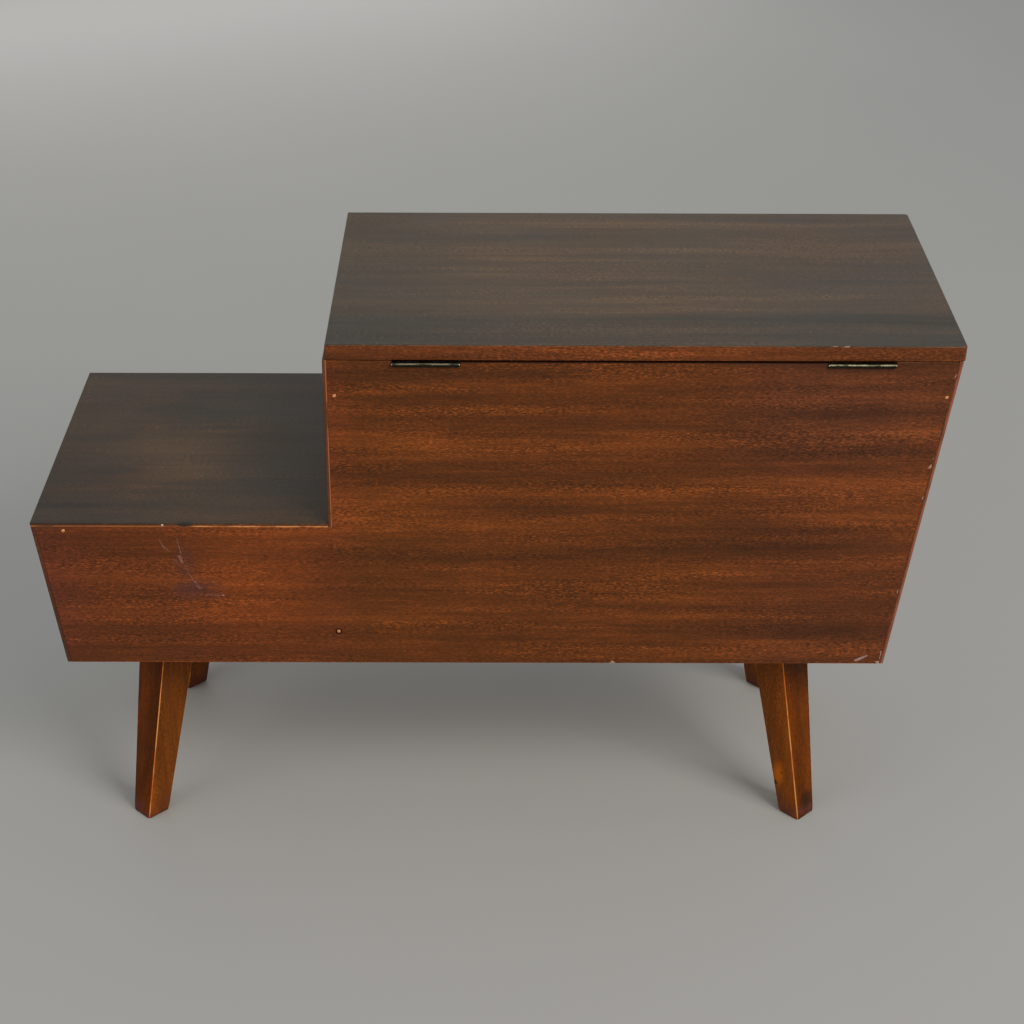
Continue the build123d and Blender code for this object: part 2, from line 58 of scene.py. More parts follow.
camera = bpy.data.objects.new("camera", bpy.data.cameras.new("camera"))
bpy.context.scene.collection.objects.link(camera)
camera.data.lens = CAMERA_LENS
camera.data.sensor_width = 36.0
camera.matrix_world = (Matrix.Translation(CAMERA_PLACE) @ rotation(CAMERA_TURN, "Z")
                       @ rotation(90.0 - CAMERA_DOWN, "X") @ rotation(CAMERA_ROLL, "Z"))
bpy.context.scene.camera = camera


# ---------------------------------------------------------------- shader helpers
def shader(tree, kind, inputs=None, **settings):
    """One node. Each value of inputs is a number, a colour, a vector, or a socket to link."""
    made = tree.nodes.new(kind)
    for key, value in settings.items():
        setattr(made, key, value)
    for key, value in (inputs or {}).items():
        if isinstance(value, bpy.types.NodeSocket):
            tree.links.new(value, made.inputs[key])
        else:
            made.inputs[key].default_value = value
    return made


def maths(tree, operation, first, second=0.0, clamp=False):
    """The result of one math operation."""
    made = shader(tree, "ShaderNodeMath", {0: first, 1: second}, operation=operation,
                  use_clamp=clamp)
    return made.outputs[0]


def product(tree, first, *others):
    """All the values multiplied together."""
    for other in others:
        first = maths(tree, "MULTIPLY", first, other)
    return first


def blend_colour(tree, share, first, second, mode="MIX"):
    """The colour first turned into second by share. A colour is (red, green, blue) or a socket."""
    first, second = (colour if isinstance(colour, bpy.types.NodeSocket) else (*colour, 1)
                     for colour in (first, second))
    made = shader(tree, "ShaderNodeMix", {"Factor": share, 6: first, 7: second},
                  data_type="RGBA", blend_type=mode)
    return made.outputs[2]


def rescale(tree, value, low, high, to_low=0.0, to_high=1.0):
    """value mapped from one range to another, smoothly and clamped."""
    made = shader(tree, "ShaderNodeMapRange",
                  {"Value": value, "From Min": low, "From Max": high,
                   "To Min": to_low, "To Max": to_high}, interpolation_type="SMOOTHSTEP")
    return made.outputs[0]


def grain_space(tree, axis, scale):
    """Object coordinates with the grain along X, each scaled: scale is (along, across, across)."""
    place = shader(tree, "ShaderNodeTexCoord").outputs["Object"]
    turn = {"X": (0, 0, 0), "Y": (0, 0, math.pi / 2), "Z": (0, math.pi / 2, 0)}[axis]
    turned = shader(tree, "ShaderNodeMapping", {"Vector": place, "Rotation": turn}).outputs[0]
    return shader(tree, "ShaderNodeMapping", {"Vector": turned, "Scale": scale}).outputs[0]


def noise_at(tree, vector, detail=2.0, roughness=0.5):
    """A noise value at vector."""
    made = shader(tree, "ShaderNodeTexNoise",
                  {"Vector": vector, "Scale": 1.0, "Detail": detail, "Roughness": roughness})
    return made.outputs[0]


def even_noise(tree, scale, detail=2.0, roughness=0.5):
    """Noise with the same scale in every direction."""
    return noise_at(tree, grain_space(tree, "X", (scale, scale, scale)), detail, roughness)


def surface(name):
    """A new material: (material, tree, principled shader)."""
    made = bpy.data.materials.new(name)
    made.use_nodes = True
    tree = made.node_tree
    return made, tree, tree.nodes["Principled BSDF"]


def painted_mask(tree, name):
    """A value stored on the mesh's points, 0 where the mesh has none."""
    return shader(tree, "ShaderNodeAttribute", attribute_name=name).outputs["Fac"]


def spot(tree, centre, reach, edge=0.5):
    """1 at centre and 0 beyond reach, an (x, y, z) of half sizes; edge is the soft share."""
    place = shader(tree, "ShaderNodeTexCoord").outputs["Object"]
    offset = shader(tree, "ShaderNodeVectorMath", {0: place, 1: centre},
                    operation="SUBTRACT").outputs[0]
    scaled = shader(tree, "ShaderNodeVectorMath", {0: offset, 1: reach},
                    operation="DIVIDE").outputs[0]
    length = shader(tree, "ShaderNodeVectorMath", {0: scaled}, operation="LENGTH").outputs["Value"]
    return rescale(tree, length, 1.0 - edge, 1.0, 1.0, 0.0)


def near_value(tree, value, centre, half):
    """1 where value is centre, fading to 0 at half from it."""
    gap = maths(tree, "ABSOLUTE", maths(tree, "SUBTRACT", value, centre))
    return rescale(tree, gap, 0.4 * half, half, 1.0, 0.0)


def place_parts(tree):
    """The X, Y and Z of the point being shaded, in metres."""
    place = shader(tree, "ShaderNodeTexCoord").outputs["Object"]
    return shader(tree, "ShaderNodeSeparateXYZ", {0: place}).outputs


def tinted(tree, share, colour, factors):
    """colour multiplied by factors where share is 1."""
    return blend_colour(tree, share, colour, blend_colour(tree, 1.0, colour, factors, "MULTIPLY"))


# ---------------------------------------------------------------- wood
# colours are linear (red, green, blue); each of these is the middle colour of its wood
VENEER = (0.141, 0.0405, 0.0120)
CASE = (0.135, 0.0365, 0.0105)
# TOP and LOW_TOP: the wood's brown greyed, partly painted reflection of the bluish surround on the
# lacquer
TOP = (0.087, 0.046, 0.0190)
LOW_TOP = (0.054, 0.0265, 0.0078)
LEG = (0.222, 0.0640, 0.0155)
DRAWER_FRONT = (0.165, 0.045, 0.0125)
PALE = (0.42, 0.25, 0.125)

RUBBED = (0.46, 0.165, 0.055)       # an arris whose lacquer is worn through
RUBBED_LEG = (0.80, 0.33, 0.12)
CHIPPED = (0.46, 0.28, 0.15)        # bare wood where a chip is missing
DIRT_AND_SHADE = (0.13, 0.13, 0.13)           # what dirt on the legs and painted shade along the back's top edge leave of the wood's own colour

# how often a layer of the grain repeats in a metre: along it, and across it both ways
BANDS = (3.0, 55.0, 55.0)
LEG_BANDS = (3.0, 60.0, 60.0)
BENDS = (4.0, 5.0, 5.0)
THREADS = (8.0, 260.0, 260.0)
FIBRES = (42.0, 820.0, 820.0)
FLECKS = (330.0, 1350.0, 1350.0)
CLOUDS = (7.0, 12.0, 12.0)
LIVELY = (6.0, 90.0, 90.0)
FRAY = (90.0, 260.0, 260.0)
RIPPLES = (14.0, 30.0, 30.0)

BEND = 1.4                  # how far the bands wander, in widths of a band
THREAD_WEIGHT = 0.40
FIBRE_WEIGHT = 0.43
CLOUD_WEIGHT = 0.35
QUIET_FLECKS, LIVELY_FLECKS = 0.75, 1.7
GLOSS_SPREAD = 0.06
# (value of the grain, what the middle colour is multiplied by there)
# the brightest stop is partly paler flecks of the wood and partly painted glints
GRAIN_STOPS = [(0.08, (0.45, 0.52, 0.58)), (0.30, (0.67, 0.74, 0.79)), (0.50, (0.97, 0.98, 0.98)),
               (0.70, (1.52, 1.46, 1.34)), (0.95, (2.7, 2.5, 2.2))]


def ramp(tree, value, stops):
    """A colour from a list of (position, colour)."""
    made = tree.nodes.new("ShaderNodeValToRGB")
    tree.links.new(value, made.inputs["Fac"])
    while len(made.color_ramp.elements) < len(stops):
        made.color_ramp.elements.new(0.5)
    for element, (position, colour) in zip(made.color_ramp.elements, stops):
        element.position = position
        element.color = (*colour, 1)
    return made.outputs["Color"]


def times(colour, factors):
    """A colour, each channel multiplied."""
    return tuple(c * f for c, f in zip(colour, factors))


def wood_grain(tree, axis, bands, figure, flecks):
    """The sum of all layers of the grain, and the fibre, fleck and cloud layers by themselves."""
    wobble = noise_at(tree, grain_space(tree, axis, BENDS), 2.0)
    bend = shader(tree, "ShaderNodeCombineXYZ", {
        "X": 0.0, "Y": maths(tree, "MULTIPLY", wobble, BEND), "Z": 0.0}).outputs[0]
    bent = shader(tree, "ShaderNodeVectorMath", {0: grain_space(tree, axis, bands), 1: bend},
                  operation="ADD").outputs[0]
    fleck = noise_at(tree, grain_space(tree, axis, FLECKS), 2.0, 0.6)
    fibre = noise_at(tree, grain_space(tree, axis, FIBRES), 3.0, 0.65)
    cloud = noise_at(tree, grain_space(tree, axis, CLOUDS), 3.0, 0.55)
    lively = rescale(tree, noise_at(tree, grain_space(tree, axis, LIVELY), 2.0), 0.42, 0.66,
                     QUIET_FLECKS * flecks, LIVELY_FLECKS * flecks)
    layers = [
        (noise_at(tree, bent, 3.0, 0.5), figure),
        (noise_at(tree, grain_space(tree, axis, THREADS), 3.0, 0.6), THREAD_WEIGHT),
        (fibre, FIBRE_WEIGHT), (fleck, lively), (cloud, CLOUD_WEIGHT)]
    grain = 0.5
    for layer, weight in layers:
        offset = maths(tree, "MULTIPLY", maths(tree, "SUBTRACT", layer, 0.5), weight)
        grain = maths(tree, "ADD", grain, offset)
    return grain, fibre, fleck, cloud


def aged(tree, axis, colour, tone, wear_and_highlight):
    """colour with rubbed arrises, bare chips, and darkening where the mesh's masks say so: dirt on
    the legs, painted shade along the back's top edge.
    """
    wear = painted_mask(tree, "worn")
    fray = noise_at(tree, grain_space(tree, axis, FRAY), 3.0, 0.65)
    frayed = maths(tree, "ADD", wear, maths(tree, "MULTIPLY", fray, 0.5))
    half_rubbed = tuple(0.6 * c + 0.4 * d for c, d in zip(wear_and_highlight, tone))
    colour = blend_colour(tree, rescale(tree, wear, 0.05, 0.6, 0.0, 0.4), colour, half_rubbed)
    colour = blend_colour(tree, rescale(tree, frayed, 0.80, 1.05), colour, wear_and_highlight)
    chipped = rescale(tree, painted_mask(tree, "chipped"), 0.15, 0.5)
    colour = blend_colour(tree, chipped, colour, CHIPPED)
    dirt_and_shade_share = maths(tree, "MULTIPLY", painted_mask(tree, "darkened"), 0.85)
    return blend_colour(tree, dirt_and_shade_share, colour, times(tone, DIRT_AND_SHADE))


def wood(name, axis, tone, wear_and_highlight=RUBBED, coat=0.5, coat_roughness=0.3, roughness=0.45,
         specular=0.4, figure=1.0, flecks=1.2, marks=None, bands=BANDS, calm=None):
    """Lacquered wood: soft bands, threads, fibres, fine flecks, rubbed arrises, and darkening from
    dirt on the legs and painted shade along the back's top edge.

    tone is the middle colour. figure and flecks say how strongly the bands and flecks show;
    the bands are half as strong where the function calm gives 1. marks adds what is on the wood.
    """
    made, tree, bsdf = surface(name)
    if calm:
        figure = rescale(tree, calm(tree), 0.0, 1.0, figure, figure / 2)
    grain, fibre, fleck, cloud = wood_grain(tree, axis, bands, figure, flecks)
    colour = ramp(tree, grain, [(at, times(tone, factors)) for at, factors in GRAIN_STOPS])
    colour = aged(tree, axis, colour, tone, wear_and_highlight)
    gloss = rescale(tree, cloud, 0.25, 0.75, roughness - GLOSS_SPREAD, roughness + GLOSS_SPREAD)
    if marks:
        colour, gloss = marks(tree, colour, gloss)
    tree.links.new(colour, bsdf.inputs["Base Color"])
    tree.links.new(gloss, bsdf.inputs["Roughness"])
    height = maths(tree, "ADD", maths(tree, "MULTIPLY", fibre, 0.6),
                   maths(tree, "MULTIPLY", fleck, 0.8))
    bump = shader(tree, "ShaderNodeBump", {"Height": height, "Strength": 0.12,
                                           "Distance": 0.0003}).outputs[0]
    tree.links.new(bump, bsdf.inputs["Normal"])
    ripple = noise_at(tree, grain_space(tree, axis, RIPPLES), 2.0)
    coat_bump = shader(tree, "ShaderNodeBump", {"Height": ripple, "Strength": 0.10,
                                                "Distance": 0.002, "Normal": bump}).outputs[0]
    tree.links.new(coat_bump, bsdf.inputs["Coat Normal"])
    bsdf.inputs["Coat Weight"].default_value = coat
    bsdf.inputs["Coat Roughness"].default_value = coat_roughness
    bsdf.inputs["Specular IOR Level"].default_value = specular
    return made


# ---------------------------------------------------------------- marks of use on the wood
LEAN = 0.146                # how far an end leans in, per millimetre of height
TALL_END = -0.28962         # x + LEAN * z on the tall end's outer face
SPLAY = 0.138               # how far a leg runs inwards, per millimetre of height
FOOT_PLACES = (0.2606, 0.2874)   # the rear feet's distances from the middle, tall end, low end
BACK_PLANE = 0.1443         # y of the back's outer face
BEHIND = (BACK_PLANE - 0.0006, BACK_PLANE - 0.0002)    # y over which the rear face begins
LID_PLANE = 0.4475          # z of the lid's top
SHELF_PLANE = 0.297         # z of the low top
DEEP = 0.1                  # half depth of a patch on a flat face, more than its board is thick

# patches of another shade: (centre, half sizes, what the colour is multiplied by)
BACK_PATCHES = [
    ((-0.33, BACK_PLANE, 0.19), (0.20, DEEP, 0.10), (0.86, 0.88, 1.0)),
    ((-0.27, BACK_PLANE, 0.40), (0.19, DEEP, 0.09), (0.70, 0.78, 1.05)),
    ((0.185, BACK_PLANE, 0.240), (0.085, DEEP, 0.080), (1.35, 1.25, 1.15)),
    ((0.345, BACK_PLANE, 0.235), (0.05, DEEP, 0.16), (0.96, 0.93, 1.30)),
]
LID_PATCHES = [
    ((-0.34, 0.02, LID_PLANE), (0.16, 0.3, DEEP), (0.80, 0.84, 0.96)),
    ((0.10, 0.0, LID_PLANE), (0.12, 0.25, DEEP), (0.74, 0.80, 0.76)),
]

# fine lines on the back: (start, end, half width, strength), each point as (x, z)
PALE_SCRATCHES = [
    ((0.2560, 0.2830), (0.2535, 0.2770), 0.0007, 0.22),
    ((0.2535, 0.2770), (0.2490, 0.2725), 0.0012, 0.25),
    ((0.2425, 0.2840), (0.2408, 0.2760), 0.0005, 0.30),
    ((0.2408, 0.2760), (0.2390, 0.2660), 0.0005, 0.55),
    ((0.2412, 0.2680), (0.2392, 0.2625), 0.0016, 0.42),
    ((0.2460, 0.2650), (0.2435, 0.2630), 0.0011, 0.20),
    ((0.2375, 0.2600), (0.2345, 0.2530), 0.0005, 0.25),
    ((0.2345, 0.2525), (0.2310, 0.2450), 0.0010, 0.25),
    ((0.2305, 0.2445), (0.2270, 0.2395), 0.0016, 0.30),
    ((0.2230, 0.2334), (0.2090, 0.2330), 0.0005, 0.32),
    ((0.2096, 0.2331), (0.2085, 0.2330), 0.0009, 1.00),
    ((-0.2920, 0.1742), (-0.3010, 0.1785), 0.0011, 1.00),
    ((-0.2935, 0.1745), (-0.2975, 0.1765), 0.0016, 0.90),
]
DARK_SCRATCHES = [
    ((0.2396, 0.2700), (0.2380, 0.2640), 0.0007, 0.75),
    ((0.2362, 0.2560), (0.2335, 0.2520), 0.0008, 0.55),
    ((0.2330, 0.2455), (0.2285, 0.2425), 0.0008, 0.65),
    ((0.2290, 0.2382), (0.2235, 0.2378), 0.0007, 0.60),
    ((0.2450, 0.2672), (0.2425, 0.2660), 0.0006, 0.50),
]
# (x, z, reach, strength) of the dark rings round the nails
NAIL_STAINS = [(0.1193, 0.2003, 0.0033, 1.0), (0.1162, 0.406, 0.0024, 0.55),
               (-0.3432, 0.406, 0.0024, 0.6), (0.3295, 0.2903, 0.0023, 0.4)]
# fine lines on the lid: (start, end, half width, strength)
LID_NICKS = [
    ((-0.1560, 0.0870, LID_PLANE), (-0.1650, 0.0890, LID_PLANE), 0.0010, 0.9),
    ((-0.1650, 0.0890, LID_PLANE), (-0.1760, 0.0960, LID_PLANE), 0.0006, 0.6),
]
LID_SCRATCHES = [
    ((0.0220, 0.0600, LID_PLANE), (0.0080, 0.0720, LID_PLANE), 0.0005, 0.6),
    ((-0.0120, -0.0950, LID_PLANE), (-0.0170, -0.0760, LID_PLANE), 0.0006, 0.7),
    ((-0.0900, 0.0300, LID_PLANE), (-0.1300, 0.0330, LID_PLANE), 0.0004, 0.5),
    ((0.0700, 0.0950, LID_PLANE), (0.0560, 0.0980, LID_PLANE), 0.0005, 0.5),
]
# (centre, half sizes, soft share, strength, colour)
LEG_SPOTS = [
    ((-0.2440, 0.1050, 0.0380), (0.0085, 0.0090, 0.0180), 0.9, 0.75, (0.62, 0.165, 0.026)),
    ((-0.2462, 0.1075, 0.0402), (0.0022, 0.0022, 0.0026), 0.8, 0.70, (0.05, 0.015, 0.005)),
    ((-0.2410, 0.1025, 0.0276), (0.0048, 0.0050, 0.0036), 0.8, 0.92, (0.02, 0.007, 0.004)),
    ((-0.2690, 0.1130, 0.0150), (0.0110, 0.0110, 0.0150), 0.9, 0.75, (0.030, 0.011, 0.008)),
    ((-0.2480, 0.1030, 0.0), (0.0060, 0.0060, 0.0070), 0.8, 0.70, (0.36, 0.165, 0.120)),
]


def patched(tree, colour, patches):
    """colour with soft patches of another shade."""
    for centre, reach, factors in patches:
        colour = tinted(tree, spot(tree, centre, reach, 1.0), colour, factors)
    return colour


def line_mask(tree, start, end, width):
    """1 on the line between two points, fading out at width."""
    place = shader(tree, "ShaderNodeTexCoord").outputs["Object"]
    run = Vector(end) - Vector(start)
    offset = shader(tree, "ShaderNodeVectorMath", {0: place, 1: start},
                    operation="SUBTRACT").outputs[0]
    along = shader(tree, "ShaderNodeVectorMath", {0: offset, 1: run / run.length_squared},
                   operation="DOT_PRODUCT").outputs["Value"]
    along = maths(tree, "ADD", along, 0.0, clamp=True)
    nearest = shader(tree, "ShaderNodeVectorMath", {0: tuple(run), "Scale": along},
                     operation="SCALE").outputs[0]
    gap = shader(tree, "ShaderNodeVectorMath", {0: offset, 1: nearest},
                 operation="DISTANCE").outputs["Value"]
    return rescale(tree, gap, 0.35 * width, width, 1.0, 0.0)


def scratched(tree, colour, lines, paint):
    """Broken fine lines. Each is (start, end, half width, strength)."""
    hair = even_noise(tree, 900.0, 3.0, 0.7)
    for start, end, width, strength in lines:
        share = product(tree, line_mask(tree, start, end, width),
                        rescale(tree, hair, 0.42, 0.60, 0.25 * strength, strength))
        colour = blend_colour(tree, share, colour, paint)
    return colour


def on_back(lines):
    """The same lines with each (x, z) made a point of the back."""
    return [((x0, BACK_PLANE, z0), (x1, BACK_PLANE, z1), width, strength)
            for (x0, z0), (x1, z1), width, strength in lines]


def low_back(tree):
    """1 on the low half of the back."""
    return rescale(tree, place_parts(tree)[0], 0.11, 0.15)


def back_marks(tree, colour, gloss):
    """The redder low half, a dulled scuff with fine pale scratches, and rings round the nails."""
    x, _, z = place_parts(tree)
    wander = even_noise(tree, 12.0, 3.0)
    low_half = rescale(tree, maths(tree, "ADD", x, maths(tree, "MULTIPLY", wander, 0.03)),
                       0.112, 0.134)
    colour = tinted(tree, low_half, colour, (1.11, 1.03, 1.20))
    glow = product(tree, spot(tree, (0.12, BACK_PLANE, 0.27), (0.20, DEEP, 0.16), 1.0),
                   rescale(tree, wander, 0.3, 0.7, 0.6, 1.0))
    colour = tinted(tree, glow, colour, (1.22, 1.20, 1.12))
    colour = tinted(tree, rescale(tree, x, -0.14, -0.24), colour, (0.99, 0.98, 1.14))
    colour = patched(tree, colour, BACK_PATCHES)

    scuff = maths(tree, "MAXIMUM", spot(tree, (0.238, BACK_PLANE, 0.262), (0.013, 0.02, 0.020), 0.9),
                  spot(tree, (0.230, BACK_PLANE, 0.238), (0.036, 0.02, 0.014), 0.9))
    scuff = product(tree, scuff, rescale(tree, even_noise(tree, 60.0, 3.0, 0.6),
                                         0.36, 0.60, 0.15, 1.0))
    colour = blend_colour(tree, product(tree, scuff, 0.65), colour, (0.092, 0.034, 0.031))
    specks = rescale(tree, even_noise(tree, 700.0), 0.62, 0.70)
    colour = blend_colour(tree, product(tree, specks, scuff, 0.6), colour, (0.32, 0.19, 0.17))
    colour = scratched(tree, colour, on_back(PALE_SCRATCHES), (0.46, 0.30, 0.27))
    colour = scratched(tree, colour, on_back(DARK_SCRATCHES), (0.020, 0.009, 0.008))
    for x0, z0, reach, strength in NAIL_STAINS:
        ring = spot(tree, (x0, BACK_PLANE, z0), (reach, 0.01, reach), 0.45)
        colour = blend_colour(tree, product(tree, ring, strength), colour, (0.012, 0.005, 0.003))
    bottom_rim = rescale(tree, z, 0.1725, 0.1712)
    colour = tinted(tree, bottom_rim, colour, (1.5, 1.35, 1.3))
    return colour, maths(tree, "ADD", gloss, maths(tree, "MULTIPLY", scuff, 0.12))


def rear_lip(tree, colour, gloss):
    """The board edges that show round the back panel: rubbed, except at the low end."""
    x, y, z = place_parts(tree)
    rub = even_noise(tree, 55.0, 3.0, 0.6)
    rear = rescale(tree, y, *BEHIND)
    from_end = maths(tree, "ADD", x, maths(tree, "MULTIPLY", z, LEAN))
    tall_end = rescale(tree, from_end, TALL_END + 0.0020, TALL_END + 0.0015)
    inner = product(tree, rescale(tree, x, -0.20, -0.22), rear)
    colour = tinted(tree, inner, colour, (0.82, 0.86, 1.2))
    by_place = maths(tree, "ADD", tall_end,
                     maths(tree, "MULTIPLY", rescale(tree, x, 0.1250, 0.1245), 0.12), clamp=True)
    share = product(tree, rear, rescale(tree, rub, 0.30, 0.60, 0.45, 1.0), by_place)
    colour = blend_colour(tree, share, colour, (0.30, 0.090, 0.050))
    low_end = product(tree, rear, rescale(tree, x, 0.20, 0.21))
    colour = tinted(tree, low_end, colour, (0.82, 0.78, 1.0))
    seam = product(tree, rear, near_value(tree, x, 0.1218, 0.0006),
                   rescale(tree, rub, 0.36, 0.52, 0.15, 0.9))
    return blend_colour(tree, seam, colour, (0.46, 0.150, 0.055)), gloss


def lid_marks(tree, colour, gloss):
    """A painted brighter middle standing in for light on the lid, a darker rear strip and free end,
    and a few fine scratches.
    """
    _, y, _ = place_parts(tree)
    drift = noise_at(tree, grain_space(tree, "X", (5.0, 22.0, 22.0)), 3.0, 0.55)
    rear = rescale(tree, maths(tree, "ADD", y, maths(tree, "MULTIPLY", drift, 0.03)),
                   0.088, 0.112)
    colour = tinted(tree, rear, colour, (0.66, 0.76, 0.98))
    # painted light: the middle of the lid is made brighter
    middle = product(tree, spot(tree, (-0.05, 0.0, LID_PLANE), (0.25, 0.16, DEEP), 1.0),
                     rescale(tree, drift, 0.40, 0.62, 0.25, 1.0))
    colour = tinted(tree, middle, colour, (1.32, 1.38, 1.34))
    colour = patched(tree, colour, LID_PATCHES)
    colour = scratched(tree, colour, LID_NICKS, (0.02, 0.012, 0.008))
    return scratched(tree, colour, LID_SCRATCHES, (0.16, 0.11, 0.075)), gloss


def shelf_marks(tree, colour, gloss):
    """The low top: a painted warm, bright patch standing in for uneven sheen, darker at its corner,
    and rubbed at the rear.
    """
    x, y, z = place_parts(tree)
    drift = noise_at(tree, grain_space(tree, "X", (9.0, 18.0, 18.0)), 4.0, 0.6)
    # painted sheen: a warmer, brighter patch in the middle of the low top
    sheen_patch = product(tree, spot(tree, (0.248, 0.0, SHELF_PLANE), (0.10, 0.17, DEEP), 1.0),
                    rescale(tree, drift, 0.40, 0.58, 0.1, 1.0))
    colour = tinted(tree, sheen_patch, colour, (2.15, 2.05, 1.5))
    # darker and more purple towards the low end's corner by the back
    darkened = product(tree, spot(tree, (0.335, 0.09, SHELF_PLANE), (0.11, 0.12, DEEP), 0.8),
                      rescale(tree, drift, 0.58, 0.42, 0.5, 1.0))
    colour = tinted(tree, darkened, colour, (0.60, 0.50, 0.66))
    sides = rescale(tree, z, SHELF_PLANE - 0.0003, SHELF_PLANE - 0.0008)
    colour = tinted(tree, sides, colour, (2.1, 1.15, 1.2))
    below_lip = rescale(tree, z, 0.2938, 0.2932)
    colour = tinted(tree, below_lip, colour, (1.4, 1.35, 1.5))
    broken = noise_at(tree, grain_space(tree, "X", (70.0, 10.0, 10.0)), 3.0, 0.6)
    seam = product(tree, rescale(tree, y, *BEHIND), near_value(tree, z, 0.2943, 0.0009),
                   rescale(tree, x, 0.232, 0.224, 0.35, 1.0),
                   rescale(tree, broken, 0.35, 0.5, 0.3, 1.0))
    colour = blend_colour(tree, seam, colour, (0.86, 0.31, 0.075))
    smudge = spot(tree, (0.2351, BACK_PLANE, 0.2964), (0.0085, 0.0060, 0.0042), 0.7)
    colour = blend_colour(tree, product(tree, smudge, 0.9), colour, (0.022, 0.012, 0.010))
    dent = spot(tree, (0.2525, BACK_PLANE, 0.2955), (0.0010, 0.002, 0.0010), 0.4)
    return blend_colour(tree, dent, colour, (0.90, 0.66, 0.44)), gloss


def leg_marks(tree, colour, gloss):
    """Painted shade on the outward faces, dusty rubbed feet, and a knot and a paler patch on one
    leg.
    """
    x, _, z = place_parts(tree)
    low_side = rescale(tree, x, -0.01, 0.01)
    foot_x = rescale(tree, low_side, 0.0, 1.0, *FOOT_PLACES)
    # painted shade: each leg's faces turned away from the middle are darkened, the low side's legs
    # more
    shaded_face = maths(tree, "ADD", maths(tree, "ABSOLUTE", x), maths(tree, "MULTIPLY", z, SPLAY))
    shaded_face = rescale(tree, maths(tree, "SUBTRACT", shaded_face, foot_x), -0.0004, 0.0006)
    colour = tinted(tree, product(tree, shaded_face, low_side), colour, (0.60, 0.46, 0.22))
    tall_side = maths(tree, "SUBTRACT", 1.0, low_side)
    colour = tinted(tree, product(tree, shaded_face, tall_side), colour, (0.66, 0.56, 0.36))
    foot = product(tree, rescale(tree, z, 0.022, 0.004),
                   rescale(tree, even_noise(tree, 80.0, 3.0, 0.6), 0.36, 0.60, 0.2, 0.85))
    colour = blend_colour(tree, foot, colour, (0.145, 0.048, 0.036))
    for centre, reach, edge, strength, paint in LEG_SPOTS:
        share = product(tree, spot(tree, centre, reach, edge), strength)
        colour = blend_colour(tree, share, colour, paint)
    shade = noise_at(tree, grain_space(tree, "Z", (26.0, 26.0, 26.0)), 2.0)
    ridge = blend_colour(tree, rescale(tree, shade, 0.38, 0.62), (0.62, 0.14, 0.045),
                         (1.0, 0.37, 0.10))
    wear = rescale(tree, painted_mask(tree, "worn"), 0.30, 0.62)
    return blend_colour(tree, wear, colour, ridge), gloss


wood_back = wood("wood_back", "X", VENEER, marks=back_marks, coat=0.08, specular=0.22,
                 calm=low_back)
wood_edge = wood("wood_edge", "X", times(VENEER, (1.05, 1.05, 1.25)), coat=0.1, specular=0.2)
wood_top = wood("wood_top", "X", TOP, coat=0.42, coat_roughness=0.34, figure=0.8,
                flecks=1.5, marks=lid_marks)
wood_shelf = wood("wood_shelf", "X", LOW_TOP, coat=0.38, coat_roughness=0.34, figure=0.6,
                  flecks=1.5, marks=shelf_marks)
wood_case = wood("wood_case", "Z", CASE, coat=0.25, marks=rear_lip)
wood_across = wood("wood_across", "X", CASE, coat=0.25)
wood_drawer = wood("wood_drawer", "X", DRAWER_FRONT, coat=0.3)
wood_leg = wood("wood_leg", "Z", LEG, wear_and_highlight=RUBBED_LEG, coat=0.04, specular=0.1,
                coat_roughness=0.25, figure=0.7, flecks=0.8, marks=leg_marks, bands=LEG_BANDS)
wood_knob = wood("wood_knob", "Y", LEG, coat=0.5, coat_roughness=0.2, flecks=0.5)
bare_x, bare_y = [wood("bare_" + axis.lower(), axis, PALE, coat=0.1, coat_roughness=0.5,
                       roughness=0.6, figure=0.2, flecks=0.35) for axis in "XY"]


# ---------------------------------------------------------------- metals
def metal(name, base, tarnish, roughness, metallic=1.0, wear_and_highlight=None):
    """Old metal: tarnish in patches and a faint uneven surface.

    The last argument is (height, half width, colour) of a painted highlight line along X.
    """
    made, tree, bsdf = surface(name)
    cloud = even_noise(tree, 420.0, 4.0, 0.65)
    colour = blend_colour(tree, rescale(tree, cloud, 0.25, 0.75), base, tarnish)
    if wear_and_highlight:
        height, half, bright = wear_and_highlight
        broken = noise_at(tree, grain_space(tree, "X", (130.0, 300.0, 300.0)), 2.0)
        line = product(tree, near_value(tree, place_parts(tree)[2], height, half),
                       rescale(tree, broken, 0.35, 0.60, 0.15, 1.0))
        colour = blend_colour(tree, line, colour, bright)
    tree.links.new(colour, bsdf.inputs["Base Color"])
    tree.links.new(rescale(tree, cloud, 0.3, 0.7, roughness, roughness + 0.25),
                   bsdf.inputs["Roughness"])
    height = maths(tree, "ADD", cloud, even_noise(tree, 2400.0))
    bump = shader(tree, "ShaderNodeBump", {"Height": height, "Strength": 0.2,
                                           "Distance": 0.0001}).outputs[0]
    tree.links.new(bump, bsdf.inputs["Normal"])
    bsdf.inputs["Metallic"].default_value = metallic
    return made


# the hinge barrels get a painted highlight line along their middle
bronze = metal("dark_bronze", (0.060, 0.056, 0.038), (0.020, 0.020, 0.014), 0.22,
               wear_and_highlight=(0.4334, 0.0007, (0.36, 0.32, 0.20)))
brass = metal("old_brass", (0.62, 0.42, 0.15), (0.33, 0.20, 0.07), 0.24)
steel = metal("dull_steel", (0.34, 0.32, 0.30), (0.20, 0.12, 0.07), 0.35)
pin_steel = metal("pin_steel", (1.0, 0.97, 0.92), (0.80, 0.76, 0.70), 0.24)
nail_metal = metal("nail_head", (1.0, 0.42, 0.13), (0.80, 0.25, 0.085), 0.34, metallic=0.3)

